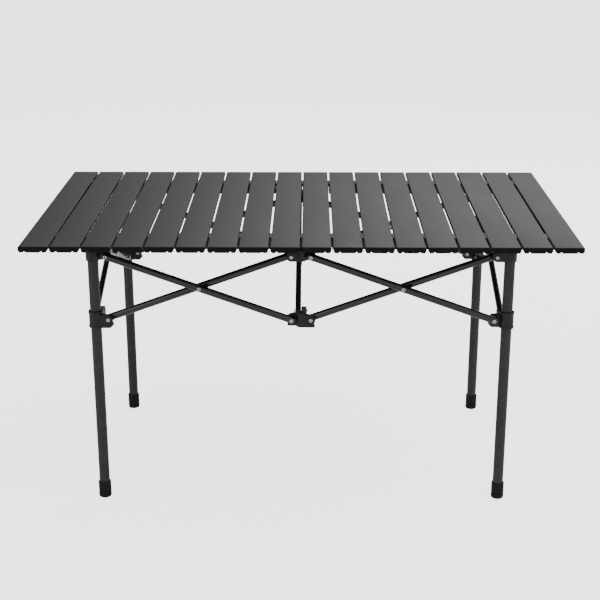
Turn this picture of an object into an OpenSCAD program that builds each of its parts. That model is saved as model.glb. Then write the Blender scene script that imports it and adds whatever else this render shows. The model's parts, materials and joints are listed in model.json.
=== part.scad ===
// Folding picnic table: a slatted roll-up top on a scissor-folding frame.
// Millimetres, +Z up. The origin is on the ground, under the middle of the tabletop.
// X runs left to right, Y front to back. Seven scissors open and close the frame.

/* [Tabletop] */
// Width of the tabletop, left to right
top_w = 950; // [780:10:1200]
// Depth of the tabletop, front to back
top_d = 550; // [450:10:700]
// Height of the tabletop above the ground
top_h = 500; // [400:10:700]
// Number of slats
slat_count = 18; // [14:1:18]
// Thickness of a slat
slat_t = 10; // [8:0.5:14]
// Gap between two slats
slat_gap = 3.5; // [3.5:0.1:4.5]
// Wall of the slat extrusion
slat_wall = 0.8; // [0.8:0.1:1.2]
// Thickness of the plastic cap on each end of a slat
cap_t = 3; // [2:0.5:6]

/* [Slat hinges] */
// Height of a link block under a slat
link_t = 13; // [9:0.5:16]
// Length of a link block along the slat
link_len = 28; // [20:1:40]
// How far the link blocks sit inside the leg line
link_inset = 9; // [0:1:12]
// Radius of a hinge knuckle
knuckle_r = 3.6; // [3:0.1:3.7]
// Radius of a hinge pin
hinge_pin_r = 1.5; // [1:0.1:2]

/* [Scissor frame] */
// Distance between the two posts' pivots of one scissor, frame open
span = 322; // [250:1:390]
// Height between the upper and the lower pivots, frame open
rise = 116; // [90:1:140]
// Height of a bar's flat-oval section
bar_h = 13; // [11:0.5:16]
// Thickness of a bar's flat-oval section
bar_t = 10.5; // [9:0.5:12]
// Wall of a bar
bar_wall = 1; // [0.8:0.1:1.5]
// Thickness of a lug
lug_t = 9.2; // [7:0.1:9.4]
// Reach of the lugs that hold the front-to-back bars
side_reach = 43; // [36:1:56]
// Radius of a rivet's shank
rivet_r = 2; // [1.5:0.1:2.5]
// Radius of a rivet's head
rivet_head_r = 3.4; // [3:0.1:5]
// Thickness of a rivet's head
rivet_head_t = 1.4; // [1:0.1:2]

/* [Legs] */
// Outer diameter of a leg
leg_d = 19; // [16:0.5:23]
// Wall of a leg
leg_wall = 1; // [0.8:0.1:2]
// Height of a foot cap
foot_h = 31; // [20:1:45]
// Wall of a foot cap
foot_wall = 2; // [1.5:0.5:4]
// Thickness of a foot cap's sole
sole_t = 4; // [3:0.5:8]
// Wall of the sleeves and sliders around a leg
sleeve_wall = 2.5; // [2:0.25:4]
// Height of a slider
slider_h = 30; // [24:1:44]
// How far a slider's lug runs past its pivot
slider_toe = 9.5; // [6:0.5:14]
// Cut on the lower outer corner of a slider's lug
slider_cut = 6; // [2:0.5:9]
// Radius of a hub's column
hub_r = 9; // [7:0.5:9.5]
// Height of the two bottom hubs
hub_h = 26; // [22:1:40]
// How far a bottom hub's lug runs past its pivot
hub_toe = 7.5; // [6:0.5:12]
// Cut on the lower outer corner of a bottom hub's lug
hub_cut = 1.5; // [0.5:0.5:6]

/* [Clearances] */
// Half the gap between the two bars of a scissor
plane_gap = 0.3; // [0.2:0.05:0.6]
// Running clearance of a rivet in a bar
rivet_fit = 0.08; // [0.05:0.01:0.1]
// Clearance of a rivet at a pivot that the motion model leaves open
open_fit = 0.3; // [0.2:0.05:0.4]
// Running clearance of a slider on its leg
slider_fit = 0.1; // [0.05:0.01:0.1]
// Running clearance of a hinge pin
hinge_fit = 0.06; // [0.05:0.01:0.1]
// Gap between the frame and the tabletop that lies on it
rest_gap = 0.3; // [0.2:0.05:0.5]
// Assembly seam between pieces that are fixed to each other in one sub-part
seam = 0.02; // [0.01:0.01:0.05]
// Gap between a bar's end and the sleeve or column beside it
end_gap = 4.5; // [4:0.25:8]

/* [Hidden] */
$fn = 48;
side_names = ["left", "right"];
row_names = ["front", "rear"];
lug_r = bar_h / 2 + 1.5;

slat_pitch = (top_w + slat_gap) / slat_count;
slat_w = slat_pitch - slat_gap;
slat_z = top_h - slat_t;
link_z = slat_z - link_t;
link_top = slat_z - seam;
frame_top = link_z - rest_gap;

leg_r = leg_d / 2;
sleeve_r = leg_r + sleeve_wall;
leg_reach = sleeve_r + end_gap + bar_h / 2;
hub_reach = hub_r + 1.5 + bar_h / 2;
pad_t = 3;
upper_z = frame_top - pad_t - 3.2 - bar_h / 2;
lower_z = upper_z - rise;
mid_z = (upper_z + lower_z) / 2;
leg_x = hub_reach + span + leg_reach;
leg_y = span / 2 + side_reach;
leg_top = frame_top - pad_t;

bar_len = sqrt(span * span + rise * rise);
bar_angle = atan2(rise, span);
bar_off = plane_gap + bar_t / 2;
bar_plug = 16;

link_y = leg_y - link_inset;
hinge_z = top_h - slat_t / 2;
link_joint = 0.8;
pocket_r = knuckle_r + 0.6;
pocket_top = 0.3;
knuckle_gap = 0.4;
knuckle_edge = 0.5;

function slat_name(i) = str("slat_", i < 9 ? "0" : "", i + 1);
function corner_name(r, s, piece) = str(row_names[r], "_", side_names[s], "_", piece);
function slat_x(i) = -top_w / 2 + slat_w / 2 + i * slat_pitch;
function post_x(s) = s == 0 ? -leg_x : leg_x;
function post_y(r) = r == 0 ? -leg_y : leg_y;

// ---- Tabletop

// Cross-section of a slat, from its underside up: a middle foot, two edge feet and a notch
// beside each, with the lower edges cut back.
module slat_outline() {
  half = slat_w / 2;
  foot_half = 12;
  notch = 2;
  edge_foot = 6;
  edge_cut = 2.5;
  edge_rise = 3.5;
  top_cut = 1;
  side = [
    [foot_half, 0],
    [foot_half + 1, notch],
    [half - edge_cut - edge_foot - 1, notch],
    [half - edge_cut - edge_foot, 0],
    [half - edge_cut, 0],
    [half, edge_rise],
    [half, slat_t - top_cut],
    [half - top_cut, slat_t]
  ];
  n = len(side);
  polygon(concat(side, [for (k = [1 : n]) [-side[n - k][0], side[n - k][1]]]));
}

// The three chambers inside the extrusion
module slat_chambers() {
  half = slat_w / 2;
  rib = 12;
  floor_z = 2 + slat_wall;
  side_w = half - slat_wall - rib - slat_wall;
  translate([-rib + slat_wall, slat_wall]) square([2 * (rib - slat_wall), slat_t - 2 * slat_wall]);
  for (m = [0, 1]) mirror([m, 0])
    translate([rib + slat_wall, floor_z]) square([side_w, slat_t - slat_wall - floor_z]);
}

module along_y(length) {
  translate([0, length / 2, 0]) rotate([90, 0, 0]) linear_extrude(length) children();
}

module hinge_pocket(x) {
  for (r = [-1, 1])
    translate([x - pocket_r, r * link_y - link_len / 2 - 0.1, slat_z - 1])
      cube([2 * pocket_r, link_len + 0.2, hinge_z + knuckle_r + pocket_top - slat_z + 1]);
}

// A knuckle with the neck that joins it to its link block. side is 1 for the right end of a
// block and -1 for the left end.
module knuckle(x, y0, length, side) {
  translate([x, y0, hinge_z]) rotate([-90, 0, 0]) cylinder(r = knuckle_r, h = length);
  neck = knuckle_r - link_joint / 2;
  translate([side > 0 ? x - knuckle_r : x + link_joint / 2, y0, slat_z - 1])
    cube([neck, length, hinge_z - slat_z + 1]);
}

module link_block(i, r) {
  first = i == 0;
  last = i == slat_count - 1;
  x = slat_x(i);
  left = first ? x - slat_w / 2 + 3 : x - slat_pitch / 2 + link_joint / 2;
  right = last ? x + slat_w / 2 - 3 : x + slat_pitch / 2 - link_joint / 2;
  y0 = r * link_y - link_len / 2;
  length = (link_len - knuckle_gap) / 2 - knuckle_edge;
  near = y0 + knuckle_edge;
  far = near + length + knuckle_gap;
  wall = 4;
  difference() {
    union() {
      translate([left, y0, link_z]) cube([right - left, link_len, link_top - link_z]);
      if (!last) {
        knuckle(x + slat_pitch / 2, near, length, 1);
        translate([x + slat_pitch / 2, near, hinge_z])
          rotate([-90, 0, 0]) cylinder(r = hinge_pin_r, h = 2 * length + knuckle_gap - 0.3);
      }
      if (!first) knuckle(x - slat_pitch / 2, far, length, -1);
    }
    translate([left + 2 * wall, y0 + wall, link_z - 1])
      cube([right - left - 4 * wall, link_len - 2 * wall, link_t - wall / 2 + 1]);
    if (!first)
      translate([x - slat_pitch / 2, far - 1, hinge_z])
        rotate([-90, 0, 0]) cylinder(r = hinge_pin_r + hinge_fit, h = length + 2);
  }
}

module slat(i) {
  body_d = top_d - 2 * (cap_t + seam);
  color("#5c5d5f") difference() {
    translate([slat_x(i), 0, slat_z]) along_y(body_d) difference() {
      slat_outline();
      slat_chambers();
    }
    if (i > 0) hinge_pocket(slat_x(i) - slat_pitch / 2);
    if (i < slat_count - 1) hinge_pocket(slat_x(i) + slat_pitch / 2);
  }
  color("#1c1c1d") for (r = [-1, 1]) {
    translate([slat_x(i), r * (top_d - cap_t) / 2, slat_z]) along_y(cap_t) slat_outline();
    link_block(i, r);
  }
}

// ---- Scissor bars

module flat_oval(w, h) {
  square([w, h - w], center = true);
  for (m = [-1, 1]) translate([0, m * (h - w) / 2]) circle(d = w);
}

// One bar, level, with its pivots at x = -bar_len / 2, 0 and bar_len / 2.
// fits holds the rivet clearance at each of the three.
module bar(fits) {
  difference() {
    intersection() {
      rotate([90, 0, 90]) linear_extrude(bar_len + 2 * bar_h, center = true) flat_oval(bar_t, bar_h);
      rotate([90, 0, 0]) linear_extrude(bar_t + 2, center = true) {
        square([bar_len, bar_h], center = true);
        for (m = [-1, 1]) translate([m * bar_len / 2, 0]) circle(d = bar_h);
      }
    }
    rotate([90, 0, 90]) linear_extrude(bar_len - 2 * bar_plug, center = true)
      flat_oval(bar_t - 2 * bar_wall, bar_h - 2 * bar_wall);
    for (k = [0 : 2])
      translate([(k - 1) * bar_len / 2, 0, 0])
        rotate([90, 0, 0]) cylinder(r = rivet_r + fits[k], h = bar_t + 2, center = true);
  }
}

// A rivet along y: its shank from y = -near to y = far, with a low head at each end
module rivet(near, far) {
  flare = rivet_head_r - 0.8;
  translate([0, -near, 0]) rotate([-90, 0, 0]) cylinder(r = rivet_r, h = near + far);
  translate([0, far, 0]) rotate([-90, 0, 0]) cylinder(r1 = rivet_head_r, r2 = flare, h = rivet_head_t);
  translate([0, -near, 0]) rotate([90, 0, 0]) cylinder(r1 = rivet_head_r, r2 = flare, h = rivet_head_t);
}

// The bar that climbs from a scissor's first post to its second. It runs in the plane on the
// +y side of the scissor, and the falling bar in the plane on the -y side.
module rising_bar(place, turn, fits) {
  color("#161617") translate(place) rotate([0, 0, turn])
    translate([0, bar_off, 0]) rotate([0, -bar_angle, 0]) bar(fits);
}

module falling_bar(place, turn, fits) {
  out = plane_gap + bar_t;
  color("#161617") translate(place) rotate([0, 0, turn]) {
    translate([0, -bar_off, 0]) rotate([0, bar_angle, 0]) bar([fits[0], seam, fits[2]]);
    rivet(out + seam, out + plane_gap);
  }
}

// ---- Posts: sleeves, sliders and hubs with their lugs

// A lug that reaches along +x for way = 1 and -x for way = -1, on the side of the scissor's
// middle plane that its bar leaves free. level is 1 at the upper pivots and -1 at the lower.
// up and down give the height of the lug's root above and below its pivot. A lower lug has a
// level foot that runs toe past its pivot, with its outer corner cut back by cut.
module lug(reach, way, level, up, down, toe, cut) {
  side = way * level;
  upper = [[0, up], [0, -down], [reach, -lug_r], [reach, lug_r]];
  lower = [[0, up], [0, -down], [reach + toe - cut, -down], [reach + toe, cut - down], [reach, lug_r]];
  translate([0, side * (plane_gap + lug_t / 2), 0]) rotate([90, 0, 0])
    linear_extrude(lug_t, center = true) {
      polygon([for (p = level > 0 ? upper : lower) [way * p[0], p[1]]]);
      translate([way * reach, 0]) circle(r = lug_r);
    }
}

module lug_hole(reach, way) {
  translate([way * reach, 0, 0]) rotate([90, 0, 0]) cylinder(r = rivet_r + seam, h = 4 * lug_t, center = true);
}

module lug_rivet(reach, way, level) {
  side = way * level;
  on_lug = plane_gap + lug_t + seam;
  on_bar = 2 * plane_gap + bar_t;
  translate([way * reach, 0, 0]) rivet(side > 0 ? on_bar : on_lug, side > 0 ? on_lug : on_bar);
}

// The ways that a post's lugs point: each is [turn, reach, way]
function corner_lugs(r, s) = [
  [0, leg_reach, s == 0 ? 1 : -1],
  [90, side_reach, r == 0 ? 1 : -1]
];
function hub_lugs(r) = [
  [0, hub_reach, -1],
  [0, hub_reach, 1],
  [90, side_reach, r == 0 ? 1 : -1]
];

module lugs(list, level, up, down, toe = 0, cut = 0) {
  for (l = list) rotate([0, 0, l[0]]) lug(l[1], l[2], level, up, down, toe, cut);
}

module lug_holes(list) {
  for (l = list) rotate([0, 0, l[0]]) lug_hole(l[1], l[2]);
}

module lug_rivets(list, level) {
  color("silver") for (l = list) rotate([0, 0, l[0]]) lug_rivet(l[1], l[2], level);
}

module leg(r, s) {
  color("#333436") translate([post_x(s), post_y(r), sole_t]) difference() {
    cylinder(r = leg_r, h = leg_top - sole_t);
    translate([0, 0, -1]) cylinder(r = leg_r - leg_wall, h = leg_top - sole_t + 2);
  }
}

module foot(r, s) {
  outer = leg_r + foot_wall;
  groove = 0.6;
  color("#0f0f10") translate([post_x(s), post_y(r), 0]) difference() {
    union() {
      cylinder(r1 = outer - 1, r2 = outer, h = 1.5);
      translate([0, 0, 1.5]) cylinder(r = outer, h = foot_h - 3);
      translate([0, 0, foot_h - 1.5]) cylinder(r1 = outer, r2 = outer - 1, h = 1.5);
    }
    translate([0, 0, sole_t]) cylinder(r = leg_r, h = foot_h);
    for (k = [0, 1]) translate([0, 0, 7 + 3 * k]) difference() {
      cylinder(r = outer + 1, h = 1);
      cylinder(r = outer - groove, h = 1);
    }
  }
}

module top_joint(r, s) {
  list = corner_lugs(r, s);
  base = upper_z - lug_r;
  color("#19191a") translate([post_x(s), post_y(r), 0]) {
    difference() {
      union() {
        translate([0, 0, base]) cylinder(r = sleeve_r, h = frame_top - base);
        translate([0, 0, upper_z]) lugs(list, 1, leg_top - upper_z, lug_r);
      }
      translate([0, 0, base - 1]) cylinder(r = leg_r, h = leg_top - base + 1);
      translate([0, 0, upper_z]) lug_holes(list);
    }
    translate([0, 0, upper_z]) lug_rivets(list, 1);
  }
}

module slider(r, s) {
  list = corner_lugs(r, s);
  rim = 0.8;
  rim_h = 4;
  color("#19191a") translate([post_x(s), post_y(r), lower_z]) difference() {
    union() {
      cylinder(r = sleeve_r, h = slider_h, center = true);
      for (m = [-1, 1]) translate([0, 0, m * (slider_h - rim_h) / 2])
        cylinder(r = sleeve_r + rim, h = rim_h, center = true);
      lugs(list, -1, slider_h / 2 - rim_h, slider_h / 2, slider_toe, slider_cut);
    }
    cylinder(r = leg_r + slider_fit, h = slider_h + 2, center = true);
    lug_holes(list);
  }
}

module slider_rivets(r, s) {
  translate([post_x(s), post_y(r), lower_z]) lug_rivets(corner_lugs(r, s), -1);
}

module top_hub(r) {
  list = hub_lugs(r);
  color("#19191a") translate([0, post_y(r), upper_z]) difference() {
    union() {
      translate([0, 0, -lug_r]) cylinder(r = hub_r, h = frame_top - upper_z + lug_r);
      translate([0, 0, frame_top - upper_z - pad_t]) cylinder(r = hub_r + 5, h = pad_t);
      lugs(list, 1, leg_top - upper_z, lug_r);
    }
    lug_holes(list);
  }
}

module bottom_hub(r) {
  list = hub_lugs(r);
  color("#19191a") translate([0, post_y(r), lower_z]) difference() {
    union() {
      cylinder(r = hub_r, h = hub_h, center = true);
      lugs(list, -1, hub_h / 2, hub_h / 2, hub_toe, hub_cut);
    }
    lug_holes(list);
  }
}

module hub_rivets(r, level) {
  translate([0, post_y(r), level > 0 ? upper_z : lower_z]) lug_rivets(hub_lugs(r), level);
}

// ---- What stands where

// Middle of a front or rear scissor, of a side scissor and of the centre one
function row_place(r, s) = [(s == 0 ? -1 : 1) * (hub_reach + span / 2), post_y(r), mid_z];
function side_place(s) = [post_x(s), 0, mid_z];

// Rivet clearance at the lower, middle and upper end of a rising bar, and at the upper and
// lower end of a falling one. A pivot that the motion model leaves open gets open_fit.
run = rivet_fit;
open = open_fit;
function rising_row_fits(s) = s == 0 ? [run, run, run] : [open, run, run];
function falling_row_fits(r, s) = s == 0 ? [run, run, r == 0 ? run : open] : [run, run, run];

for (i = [0 : slat_count - 1]) slat(i);
for (r = [0, 1], s = [0, 1]) {
  leg(r, s);
  foot(r, s);
  top_joint(r, s);
  slider(r, s);
  slider_rivets(r, s);
  rising_bar(row_place(r, s), 0, rising_row_fits(s));
  falling_bar(row_place(r, s), 0, falling_row_fits(r, s));
}
for (r = [0, 1]) {
  top_hub(r);
  bottom_hub(r);
  hub_rivets(r, 1);
  hub_rivets(r, -1);
}
for (s = [0, 1]) {
  rising_bar(side_place(s), 90, [open, run, open]);
  falling_bar(side_place(s), 90, [run, run, open]);
}
rising_bar([0, 0, mid_z], 90, [open, run, run]);  // centre_rising_bar
falling_bar([0, 0, mid_z], 90, [run, run, run]);  // centre_falling_bar
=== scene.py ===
import bpy
import bmesh
import json
import math
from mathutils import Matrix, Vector


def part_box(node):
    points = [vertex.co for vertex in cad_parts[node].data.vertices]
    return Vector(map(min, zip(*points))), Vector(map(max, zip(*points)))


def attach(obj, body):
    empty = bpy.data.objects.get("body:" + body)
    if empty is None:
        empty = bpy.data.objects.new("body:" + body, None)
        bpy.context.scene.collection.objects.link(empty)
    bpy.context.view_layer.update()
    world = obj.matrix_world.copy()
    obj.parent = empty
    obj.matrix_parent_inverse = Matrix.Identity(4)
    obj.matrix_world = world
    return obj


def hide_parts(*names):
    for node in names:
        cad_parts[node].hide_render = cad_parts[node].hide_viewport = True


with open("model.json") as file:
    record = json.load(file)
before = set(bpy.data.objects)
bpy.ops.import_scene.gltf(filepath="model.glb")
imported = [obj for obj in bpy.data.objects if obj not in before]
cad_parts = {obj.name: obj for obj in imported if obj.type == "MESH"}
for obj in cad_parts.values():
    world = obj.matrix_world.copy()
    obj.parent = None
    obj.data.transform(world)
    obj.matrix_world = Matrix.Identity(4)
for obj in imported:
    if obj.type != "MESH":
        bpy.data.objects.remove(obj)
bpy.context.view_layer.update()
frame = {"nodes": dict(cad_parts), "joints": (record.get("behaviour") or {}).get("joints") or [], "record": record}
print("frame loaded:", len(frame["nodes"]), "nodes")

cameraSetup = {"place": (0.014, -2.327, 1.112), "tilt": 71.05, "turn": 0.43, "lens": 76.8,
               "sensor": 36}
camData = bpy.data.cameras.new("camera")
cam = bpy.data.objects.new("camera", camData)
cam.location = cameraSetup["place"]
cam.rotation_euler = (math.radians(cameraSetup["tilt"]), 0, math.radians(cameraSetup["turn"]))
camData.lens = cameraSetup["lens"]
camData.sensor_width = cameraSetup["sensor"]
bpy.context.scene.collection.objects.link(cam)
bpy.context.scene.camera = cam


# shader maths: a socket that adds its own nodes
class Wire:
    def __init__(self, tree, socket):
        self.tree = tree
        self.socket = socket

    def maths(self, operation, other, flip=False):
        node = self.tree.nodes.new("ShaderNodeMath")
        node.operation = operation
        pair = (other, self) if flip else (self, other)
        for slotIndex, value in enumerate(pair):
            plug(self.tree, node.inputs[slotIndex], value)
        return Wire(self.tree, node.outputs[0])

    def __add__(self, other):
        return self.maths("ADD", other)

    def __radd__(self, other):
        return self.maths("ADD", other)

    def __sub__(self, other):
        return self.maths("SUBTRACT", other)

    def __rsub__(self, other):
        return self.maths("SUBTRACT", other, True)

    def __mul__(self, other):
        return self.maths("MULTIPLY", other)

    def __rmul__(self, other):
        return self.maths("MULTIPLY", other)


def plug(tree, socket, value):
    # a wire is linked, anything else is set on the socket
    if isinstance(value, Wire):
        tree.links.new(value.socket, socket)
    else:
        socket.default_value = value


class NodeBench:
    # adds any node to one node tree
    def __init__(self, tree):
        self.tree = tree

    def add(self, kind, settings=None, out=0, **values):
        # values are keyed by socket: a name, or _ and its number
        node = self.tree.nodes.new("ShaderNode" + kind)
        for key, value in (settings or {}).items():
            setattr(node, key, value)
        for key, value in values.items():
            plug(self.tree, node.inputs[int(key[1:]) if key[1:].isdigit() else key], value)
        return Wire(self.tree, node.outputs[out])


class Finish(NodeBench):
    # one material and its Principled shader
    def __init__(self, name, **constants):
        self.mat = bpy.data.materials.new(name)
        self.mat.use_nodes = True
        super().__init__(self.mat.node_tree)
        self.shader = self.tree.nodes["Principled BSDF"]
        self.feed(**constants)

    def point(self, scale=(1, 1, 1)):
        place = self.add("TexCoord", out=3)  # object coordinates
        return self.add("Mapping", _0=place, _3=scale)

    def noise(self, size, detail, rough, scale=(1, 1, 1), seed=0.0):
        # size in metres; the looks hold a noise as (size, detail, rough) and, where it is drawn out, scale
        return self.add("TexNoise", {"noise_dimensions": "4D"}, _0=self.point(scale), _1=seed,
                        _2=1 / size, _3=detail, _4=rough)

    def blend(self, factor, first, second):
        return self.add("Mix", {"data_type": "RGBA"}, 2, _0=factor, _6=first, _7=second)

    def ramp(self, value, low, high):
        return self.add("MapRange", {"clamp": True}, _0=value, _1=low, _2=high, _3=0.0, _4=1.0)

    def mottle(self, cloud, first, second, ends=(0.3, 0.7)):
        # drifts between two greys as the cloud goes from one end to the other
        return self.blend(self.ramp(cloud, *ends), grey(first), grey(second))

    def feed(self, **inputs):
        for key, value in inputs.items():
            plug(self.tree, self.shader.inputs[key.replace("_", " ")], value)

    def bumps(self, height, depth, strength):
        self.feed(Normal=self.add("Bump", _0=strength, _1=depth, _3=height))


def grey(value, warm=0.0):
    return (value * (1 + warm), value, value * (1 - warm), 1)


# finishes

slatLook = {
    "shade": 0.040, "spread": 0.008, "swing": 0.03, "flutter": 0.02,  # swing, flutter: slat to slat
    "roughness": 0.6, "roughSpread": 0.16, "depth": 0.00003, "bump": 0.8,
    "cloud": (0.07, 3, 0.6, (1, 0.35, 1)),
    "strokes": (0.0016, 2, 0.6, (1, 0.03, 1)), "strokeEnds": (0.35, 0.8),
    "strokeMix": 0.18, "strokeTint": 0.72,
    "grit": (0.00045, 2, 0.7), "speckEnds": (0.62, 0.74), "speckMix": 0.35, "speckTint": 1.7,
    "scuff": (0.011, 4, 0.7, (1, 0.12, 1)), "scuffEnds": (0.66, 0.74), "scuffMix": 0.12, "scuffTint": 1.5,
}


def slatFinish(index):
    # matte coating with a very fine grit, a soft cloudiness and faint strokes along the slat
    look = slatLook
    drift = look["swing"] * math.sin(index * 2.4) + look["flutter"] * math.cos(index * 5.1)
    tint = look["shade"] * (1 + drift)
    f = Finish("slat coating %02d" % (index + 1), Metallic=0.0, Specular_IOR_Level=0.42)
    cloud = f.noise(*look["cloud"], seed=index * 0.73)
    strokes = f.noise(*look["strokes"], seed=index * 1.31)
    grit = f.noise(*look["grit"], seed=index * 0.37)
    speck = f.ramp(grit, *look["speckEnds"])
    base = f.mottle(cloud, tint - look["spread"] / 2, tint + look["spread"] / 2)
    stroke = f.ramp(strokes, *look["strokeEnds"]) * look["strokeMix"]
    base = f.blend(stroke, base, grey(tint * look["strokeTint"]))
    base = f.blend(speck * look["speckMix"], base, grey(tint * look["speckTint"]))
    scuff = f.ramp(f.noise(*look["scuff"], seed=index * 0.91), *look["scuffEnds"])
    base = f.blend(scuff * look["scuffMix"], base, grey(tint * look["scuffTint"]))
    rough = look["roughness"] + (cloud - 0.5) * look["roughSpread"] + speck * 0.06 - scuff * 0.08
    f.feed(Base_Color=base, Roughness=rough)
    f.bumps(grit * 0.7 + strokes * 0.3, look["depth"], look["bump"])
    return f.mat


capLook = {
    "shade": 0.0035, "dark": 0.8, "pale": 1.3, "roughness": 0.6, "roughSpread": 0.2,
    "depth": 0.00004, "bump": 0.7, "cloud": (0.02, 3, 0.6), "grit": (0.0006, 2, 0.6),
}


def capFinish():
    look = capLook
    f = Finish("slat cap plastic", Metallic=0.0, Specular_IOR_Level=0.2)
    grit = f.noise(*look["grit"])
    cloud = f.noise(*look["cloud"], seed=2.0)
    base = f.mottle(cloud, look["shade"] * look["dark"], look["shade"] * look["pale"])
    f.feed(Base_Color=base, Roughness=look["roughness"] + (cloud - 0.5) * look["roughSpread"])
    f.bumps(grit, look["depth"], look["bump"])
    return f.mat


legLook = {
    "shade": 0.034, "dark": 0.8, "pale": 1.25, "roughness": 0.34, "roughSpread": 0.15,
    "depth": 0.00022, "bump": 0.9, "patch": (0.006, 2, 0.6),
    "cell": 0.0016, "cellSmooth": 0.6,
    "pitEnds": (0.45, 0.8), "pitMix": 0.6, "pitTint": 0.35, "pitRough": 0.25,
    "fine": (0.0011, 3, 0.65), "fleck": 0.20, "fleckEnds": (0.58, 0.68), "fleckMix": 0.45,
}


def legFinish():
    # hammered powder coat: raised cells with dark pits between them and a scatter of paler flecks
    look = legLook
    f = Finish("hammered leg coating", Metallic=0.25, Specular_IOR_Level=0.6)
    warp = f.noise(*look["patch"], seed=1.0)
    cells = f.add("TexVoronoi", {"feature": "SMOOTH_F1"}, _0=f.point(), _2=1 / look["cell"],
                  _6=look["cellSmooth"])
    fine = f.noise(*look["fine"], seed=3.0)
    height = (1 - cells) * 0.6 + fine * 0.4
    fleck = f.ramp(fine + (warp - 0.5) * 0.3, *look["fleckEnds"])
    pit = f.ramp(cells, *look["pitEnds"])
    base = f.mottle(warp, look["shade"] * look["dark"], look["shade"] * look["pale"])
    base = f.blend(pit * look["pitMix"], base, grey(look["shade"] * look["pitTint"]))
    base = f.blend(fleck * look["fleckMix"], base, grey(look["fleck"]))
    rough = look["roughness"] + pit * look["pitRough"] + (warp - 0.5) * look["roughSpread"]
    f.feed(Base_Color=base, Roughness=rough)
    f.bumps(height, look["depth"], look["bump"])
    return f.mat


barLook = {
    "shade": 0.0075, "dark": 0.8, "pale": 1.3, "roughness": 0.2, "roughSpread": 0.14,
    "coat": 0.5, "coatRoughness": 0.12, "depth": 0.00003, "bump": 0.7,
    "peel": (0.0035, 2, 0.5), "cloud": (0.03, 3, 0.6),
    "dust": (0.0012, 3, 0.7), "dustEnds": (0.66, 0.78), "dustMix": 0.12, "dustShade": 0.12,
    "dustCoat": 0.3, "dustRough": 0.2,  # what dust takes from the coat and adds to the roughness
}


def barFinish():
    # gloss paint with a slight orange peel and a little dust
    look = barLook
    f = Finish("glossy bar paint", Metallic=0.0, Specular_IOR_Level=0.6, Coat_Roughness=look["coatRoughness"])
    peel = f.noise(*look["peel"])
    dust = f.ramp(f.noise(*look["dust"], seed=4.0), *look["dustEnds"])
    cloud = f.noise(*look["cloud"], seed=5.0)
    base = f.mottle(cloud, look["shade"] * look["dark"], look["shade"] * look["pale"])
    base = f.blend(dust * look["dustMix"], base, grey(look["dustShade"]))
    rough = look["roughness"] + (cloud - 0.5) * look["roughSpread"] + dust * look["dustRough"]
    f.feed(Base_Color=base, Coat_Weight=look["coat"] - dust * look["dustCoat"], Roughness=rough)
    f.bumps(peel, look["depth"], look["bump"])
    return f.mat


nylonLook = {
    "shade": 0.011, "dark": 0.8, "pale": 1.35, "roughness": 0.43, "roughSpread": 0.2,
    "depth": 0.00005, "bump": 0.7, "grit": (0.0005, 2, 0.65), "cloud": (0.012, 3, 0.6),
    "scuff": (0.004, 4, 0.7), "scuffEnds": (0.66, 0.76), "scuffMix": 0.2, "scuffShade": 0.06,
    "scuffRough": 0.08,  # scuffs are smoother by this much
}


def nylonFinish():
    look = nylonLook
    f = Finish("moulded nylon", Metallic=0.0, Specular_IOR_Level=0.5)
    grit = f.noise(*look["grit"])
    cloud = f.noise(*look["cloud"], seed=6.0)
    scuff = f.ramp(f.noise(*look["scuff"], seed=7.0), *look["scuffEnds"])
    base = f.mottle(cloud, look["shade"] * look["dark"], look["shade"] * look["pale"])
    base = f.blend(scuff * look["scuffMix"], base, grey(look["scuffShade"]))
    rough = look["roughness"] + (cloud - 0.5) * look["roughSpread"] - scuff * look["scuffRough"]
    f.feed(Base_Color=base, Roughness=rough)
    f.bumps(grit, look["depth"], look["bump"])
    return f.mat


rubberLook = {
    "shade": 0.009, "roughness": 0.72, "depth": 0.00008, "bump": 0.6, "grit": (0.0009, 3, 0.6),
    "dust": (0.006, 4, 0.65), "dustEnds": (0.5, 0.8), "dustMix": 0.4, "dustShade": 0.035, "dustWarm": 0.03,
    "dustRough": 0.12,
}


def rubberFinish():
    # matte rubber with faintly warm dust on it
    look = rubberLook
    f = Finish("foot rubber", Metallic=0.0, Specular_IOR_Level=0.35)
    grit = f.noise(*look["grit"])
    dust = f.ramp(f.noise(*look["dust"], seed=8.0), *look["dustEnds"])
    base = f.blend(dust * look["dustMix"], grey(look["shade"]), grey(look["dustShade"], look["dustWarm"]))
    f.feed(Base_Color=base, Roughness=look["roughness"] + dust * look["dustRough"])
    f.bumps(grit, look["depth"], look["bump"])
    return f.mat


rivetLook = {
    "shade": 0.72, "dark": 0.7, "roughness": 0.24, "roughSpread": 0.25, "depth": 0.00002, "bump": 0.6,
    "cloud": (0.0018, 3, 0.6), "cloudEnds": (0.35, 0.75), "fine": (0.0004, 2, 0.6),
}


def rivetFinish():
    look = rivetLook
    f = Finish("plated rivet steel", Metallic=1.0)
    cloud = f.noise(*look["cloud"], seed=9.0)
    fine = f.noise(*look["fine"], seed=10.0)
    base = f.mottle(cloud, look["shade"], look["shade"] * look["dark"], look["cloudEnds"])
    f.feed(Base_Color=base, Roughness=look["roughness"] + (cloud - 0.5) * look["roughSpread"])
    f.bumps(fine, look["depth"], look["bump"])
    return f.mat


finishes = {
    "cap": capFinish(), "leg": legFinish(), "bar": barFinish(), "nylon": nylonFinish(),
    "rubber": rubberFinish(), "rivet": rivetFinish(),
}
print("finishes made")


# mesh helpers

headSteps = 32  # round steps of a rivet or screw head
meshing = {"sharpAngle": 32, "bevelSegments": 2, "weld": 0.000005, "flatAngle": 0.5}


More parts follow.
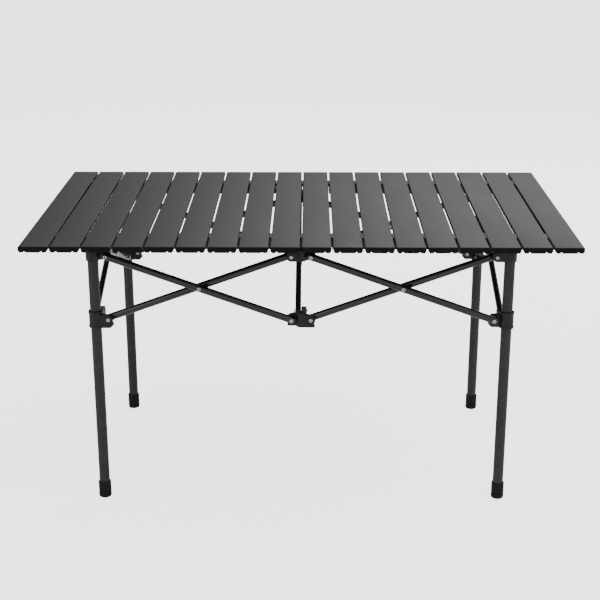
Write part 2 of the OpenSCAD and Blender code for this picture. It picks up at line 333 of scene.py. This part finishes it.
def addPiece(name, bm, body, material, nodes=(), bevel=0.0):
    mesh = bpy.data.meshes.new(name)
    bm.to_mesh(mesh)
    bm.free()
    piece = bpy.data.objects.new(name, mesh)
    bpy.context.scene.collection.objects.link(piece)
    mesh.materials.append(material)
    mesh.shade_smooth()
    if bevel:
        mod = piece.modifiers.new("edges", "BEVEL")
        mod.width = bevel
        mod.segments = meshing["bevelSegments"]
        mod.limit_method = "ANGLE"
        mod.angle_limit = math.radians(meshing["sharpAngle"])
        mod.use_clamp_overlap = True
        mod.harden_normals = True
    else:
        mesh.set_sharp_from_angle(angle=math.radians(meshing["sharpAngle"]))
    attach(piece, body)
    for node in nodes:
        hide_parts(node)


def cadCopy(node, keep=None):
    # a clean copy of a CAD node's mesh: welded, flat faces merged, only the faces that keep() wants
    bm = bmesh.new()
    bm.from_mesh(frame["nodes"][node].data)
    if keep:
        bm.normal_update()
        drop = [face for face in bm.faces if not keep(face.calc_center_median(), face.normal)]
        bmesh.ops.delete(bm, geom=drop, context="FACES")
    bmesh.ops.remove_doubles(bm, verts=bm.verts, dist=meshing["weld"])
    bmesh.ops.dissolve_degenerate(bm, edges=bm.edges, dist=meshing["weld"])
    flat = math.radians(meshing["flatAngle"])
    bmesh.ops.dissolve_limit(bm, angle_limit=flat, verts=bm.verts, edges=bm.edges)
    return bm


def ringPoint(radius, step, height=0.0):
    # a point of a round head, with its axis along z
    angle = 2 * math.pi * step / headSteps
    return Vector((radius * math.cos(angle), radius * math.sin(angle), height))


def joinRings(bm, rings, flip=False):
    # quads between each ring and the next
    for low, high in zip(rings, rings[1:]):
        for k in range(headSteps):
            after = (k + 1) % headSteps
            quad = (low[k], low[after], high[after], high[k])
            bm.faces.new(quad[::-1] if flip else quad)


def bodyOf(node):
    for body, members in frame["record"]["behaviour"]["bodies"].items():
        if node in members:
            return body


# frame pieces: the CAD shapes with their edges rounded off

edgeOf = {"leg": 0.0, "rubber": 0.0006, "bar": 0.0004, "nylon": 0.0007}
for node in frame["nodes"]:
    if node.startswith("slat_") or node.endswith("_rivets"):
        continue
    kind = ("leg" if node.endswith("_leg") else "rubber" if node.endswith("_foot") else
            "bar" if node.endswith("_bar") else "nylon")
    addPiece(node + "_piece", cadCopy(node), bodyOf(node), finishes[kind], [node],
             edgeOf[kind])
print("frame pieces made")


# rivets: a rolled head with a dimple, one at each end of every pivot

rivetShape = {
    "radius": 0.0036, "height": 0.0016, "dimple": 0.0013, "rimSteps": 6,
    "wall": 0.25, "crown": 0.4,  # shares of the height and of the rim's width
    "bowl": ((1, 0.9), (0.75, 0.6), (0.3, 0.48)),  # shares of the dimple's radius and of the height
    "onLug": 0.00952, "onBar": 0.0111, "crossNear": 0.0108,  # seats, from the scissor's middle plane
}


def rivetHead(bm, centre, outward):
    # spun from its seat up over the rolled rim and down into the dimple
    look = rivetShape
    r, h, d = look["radius"], look["height"], look["dimple"]
    wall, crown = look["wall"], look["crown"]
    outline = [(r, 0.0), (r, h * wall)]
    for k in range(1, look["rimSteps"] + 1):
        angle = math.pi / 2 * k / look["rimSteps"]
        outline.append((d + (r - d) * (crown + (1 - crown) * math.cos(angle)),
                        h * (wall + (1 - wall) * math.sin(angle))))
    outline += [(d * across, h * up) for across, up in look["bowl"]]
    turn = Vector((0, 0, 1)).rotation_difference(Vector(outward)).to_matrix()
    rings = []
    for radius, height in outline:
        spots = [Vector(centre) + turn @ ringPoint(radius, k, height) for k in range(headSteps)]
        rings.append([bm.verts.new(spot) for spot in spots])
    joinRings(bm, rings)
    bm.faces.new(rings[-1])
    bm.faces.new(list(reversed(rings[0])))


def rivetPair(name, body, place, along, nearOff, farOff, nodes=()):
    # nearOff and farOff: how far each head's seat stands from the pivot, against and with along
    bm = bmesh.new()
    along = Vector(along)
    rivetHead(bm, Vector(place) - along * nearOff, -along)
    rivetHead(bm, Vector(place) + along * farOff, along)
    addPiece(name, bm, body, finishes["rivet"], nodes)


jointAt = {joint["name"]: Vector(joint["pos_m"]) for joint in frame["joints"] if "pos_m" in joint}
upperZ = jointAt["front_left_leg_pivot"].z
lowerZ = jointAt["front_left_slider_pivot"].z
sideY = abs(jointAt["left_side_leg_pivot"].y)
hubX = abs(jointAt["front_left_hub_pivot"].x)


def lugRivets(name, body, postX, postY, z, level, lugs, nodes=()):
    # lugs: (turned, the pivot's x or, if turned, y, way the lug points) for each lug of one post
    for turned, place, way in lugs:
        # each lug stands on one side of the scissor's middle plane and its bar on the other
        along = (-1, 0, 0) if turned else (0, 1, 0)
        near, far = rivetShape["onBar"], rivetShape["onLug"]
        if way * level < 0:
            near, far = far, near
        spot = (postX, place, z) if turned else (place, postY, z)
        label = "_side_rivet" if turned else "_row_rivet_right" if way > 0 else "_row_rivet_left"
        rivetPair(name + label, body, spot, along, near, far, nodes)


for row, rowSign in (("front", -1), ("rear", 1)):
    for side, sideSign in (("left", -1), ("right", 1)):
        corner = "%s_%s" % (row, side)
        legX = jointAt[side + "_side_leg_pivot"].x
        legPivot = jointAt[corner + "_leg_pivot"]
        lugs = [(False, legPivot.x, -sideSign), (True, rowSign * sideY, -rowSign)]
        lugRivets(corner + "_top", corner + "_leg", legX, legPivot.y, upperZ, 1, lugs)
        lugRivets(corner + "_slider", corner + "_slider", legX, legPivot.y, lowerZ, -1, lugs,
                  [corner + "_slider_rivets"])
    hubLugs = [(False, -hubX, -1), (False, hubX, 1), (True, rowSign * sideY, -rowSign)]
    for hub, level, z in (("top", 1, upperZ), ("bottom", -1, lowerZ)):
        node = "%s_%s_hub" % (row, hub)
        lugRivets(node, bodyOf(node), 0, legPivot.y, z, level, hubLugs, [node + "_rivets"])

for joint in frame["joints"]:
    if joint["name"].endswith("_cross"):
        turned = abs(joint["axis"][0]) > 0.5
        carrier = joint["name"].replace("_cross", "_falling_bar")
        rivetPair(joint["name"] + "_rivet", carrier, joint["pos_m"], (-1, 0, 0) if turned else (0, 1, 0),
                  rivetShape["crossNear"], rivetShape["onBar"])
print("rivets made")


# tabletop: each slat's extrusion, its two end caps and its link blocks

slatParts = {
    "thickness": 0.010, "capThickness": 0.003,
    "slatEdge": 0.00035, "capEdge": 0.0005, "linkEdge": 0.0005,  # roundings
    "bandY": 0.195, "bandHalf": 0.01402, "knuckle": 0.0038, "notchRoof": 0.0013,  # hinge bands
    "pocketRoof": 0.011,
}
partName = {"slat": "extrusion", "cap": "end_caps", "link": "link_blocks"}
hair = 0.00003  # tolerance when faces are sorted by place
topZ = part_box("slat_02")[1][2]
underZ = topZ - slatParts["thickness"]
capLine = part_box("slat_02")[1][1] - slatParts["capThickness"]
bandY = slatParts["bandY"]
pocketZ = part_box("slat_02")[0][2] + slatParts["pocketRoof"]
slatHinges = [j for j in frame["joints"] if j["type"] == "hinge" and j["child"].startswith("slat_")]
hingeX = sorted(joint["pos_m"][0] for joint in slatHinges)


def inKnuckle(centre):
    # knuckles, necks and pins stand inside the notches in the slats' edges
    if abs(abs(centre.y) - bandY) > slatParts["bandHalf"] or centre.z > topZ - slatParts["notchRoof"] + hair:
        return False
    return min(abs(centre.x - x) for x in hingeX) < slatParts["knuckle"]


def solidOf(centre, normal):
    # which of a slat node's solids a face belongs to
    away = abs(centre.y)
    outward = normal.y if centre.y > 0 else -normal.y
    if away > capLine + hair or (away > capLine - hair and outward < -0.5):
        return "cap"
    if centre.z < underZ - hair or (centre.z < underZ + hair and normal.z > 0.5) or inKnuckle(centre):
        return "link"
    return "slat"


screwShape = {
    "radius": 0.0031, "height": 0.0012, "offset": 0.009,
    "outline": ((1, 0), (0.97, 0.5), (0.8, 0.88), (0.55, 1)),  # shares of the radius and of the height
    "crossArm": 0.5, "crossWaist": 0.22, "recessFloor": 0.35,
}


def screwHead(bm, x, y, z):
    # a low round head with a cross recess sunk into it, facing down
    look = screwShape
    r, h = look["radius"], look["height"]
    seat = Vector((x, y, z))
    rings = []
    for across, drop in look["outline"]:
        rings.append([bm.verts.new(seat + ringPoint(r * across, k, -h * drop)) for k in range(headSteps)])
    inner = []
    for k in range(headSteps):
        onArm = abs(math.sin(4 * math.pi * k / headSteps)) < 0.5
        arm = look["crossArm"] if onArm else look["crossWaist"]
        inner.append(bm.verts.new(seat + ringPoint(r * arm, k, -h)))
    floorRing = [bm.verts.new((vert.co.x, vert.co.y, z - h * look["recessFloor"])) for vert in inner]
    rings += [inner, floorRing]
    joinRings(bm, rings, flip=True)
    bm.faces.new(list(reversed(floorRing)))
    bm.faces.new(rings[0])


for index in range(len(hingeX) + 1):
    node = "slat_%02d" % (index + 1)
    shades = {"slat": slatFinish(index), "cap": finishes["cap"], "link": finishes["nylon"]}
    for kind, part in partName.items():
        bm = cadCopy(node, lambda centre, normal: solidOf(centre, normal) == kind)
        addPiece(node + "_" + part, bm, node, shades[kind], [node], slatParts[kind + "Edge"])
    screws = bmesh.new()
    centreX = sum(corner[0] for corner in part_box(node)) / 2
    for yWay in (-1, 1):
        for xWay in (-1, 1):
            screwHead(screws, centreX + xWay * screwShape["offset"], yWay * bandY, pocketZ)
    addPiece(node + "_screws", screws, node, finishes["rivet"])
print("tabletop made")

# stage

studio = {"ambient": 0.5, "backdrop": 4.0, "floorGlow": 2.4, "floorShade": 0.95, "floorHalf": 30}
lamps = {
    "key": {"place": (1.7, -0.6, 2.6), "target": (0.2, 0, 0.4), "size": (2.0, 2.0), "power": 24},
    "fill": {"place": (-2.2, -2.0, 1.2), "target": (0, 0, 0.25), "size": (1.6, 1.6), "power": 10},
    "back": {"place": (1.1, 2.6, 2.2), "target": (0.2, 0, 0.45), "size": (2.4, 1.2), "power": 34},
}
floorMesh = bpy.data.meshes.new("floor")
floorBm = bmesh.new()
bmesh.ops.create_grid(floorBm, x_segments=1, y_segments=1, size=studio["floorHalf"])
floorBm.to_mesh(floorMesh)
floorBm.free()
floor = bpy.data.objects.new("floor", floorMesh)
bpy.context.scene.collection.objects.link(floor)
floorLook = Finish("floor", Base_Color=grey(studio["floorShade"]), Roughness=0.9)
floorLook.feed(Emission_Strength=studio["floorGlow"])
floorLook.feed(Emission_Color=floorLook.add("LightPath"))  # glows to the camera only
floorMesh.materials.append(floorLook.mat)

# the camera sees the bright backdrop, while the table is lit by the weaker ambient value
world = bpy.data.worlds.new("studio")
world.use_nodes = True
sky = NodeBench(world.node_tree)
background = sky.tree.nodes["Background"]
plug(sky.tree, background.inputs["Color"], grey(1.0))
skyLight = studio["ambient"] + sky.add("LightPath") * (studio["backdrop"] - studio["ambient"])
plug(sky.tree, background.inputs["Strength"], skyLight)
bpy.context.scene.world = world


def addLight(name, place, target, size, power):
    data = bpy.data.lights.new(name, "AREA")
    data.shape = "RECTANGLE"
    data.size, data.size_y = size
    data.energy = power
    light = bpy.data.objects.new(name, data)
    light.location = place
    light.rotation_euler = (Vector(target) - Vector(place)).to_track_quat("-Z", "Y").to_euler()
    bpy.context.scene.collection.objects.link(light)


for name, lamp in lamps.items():
    addLight(name, **lamp)
print("stage set")
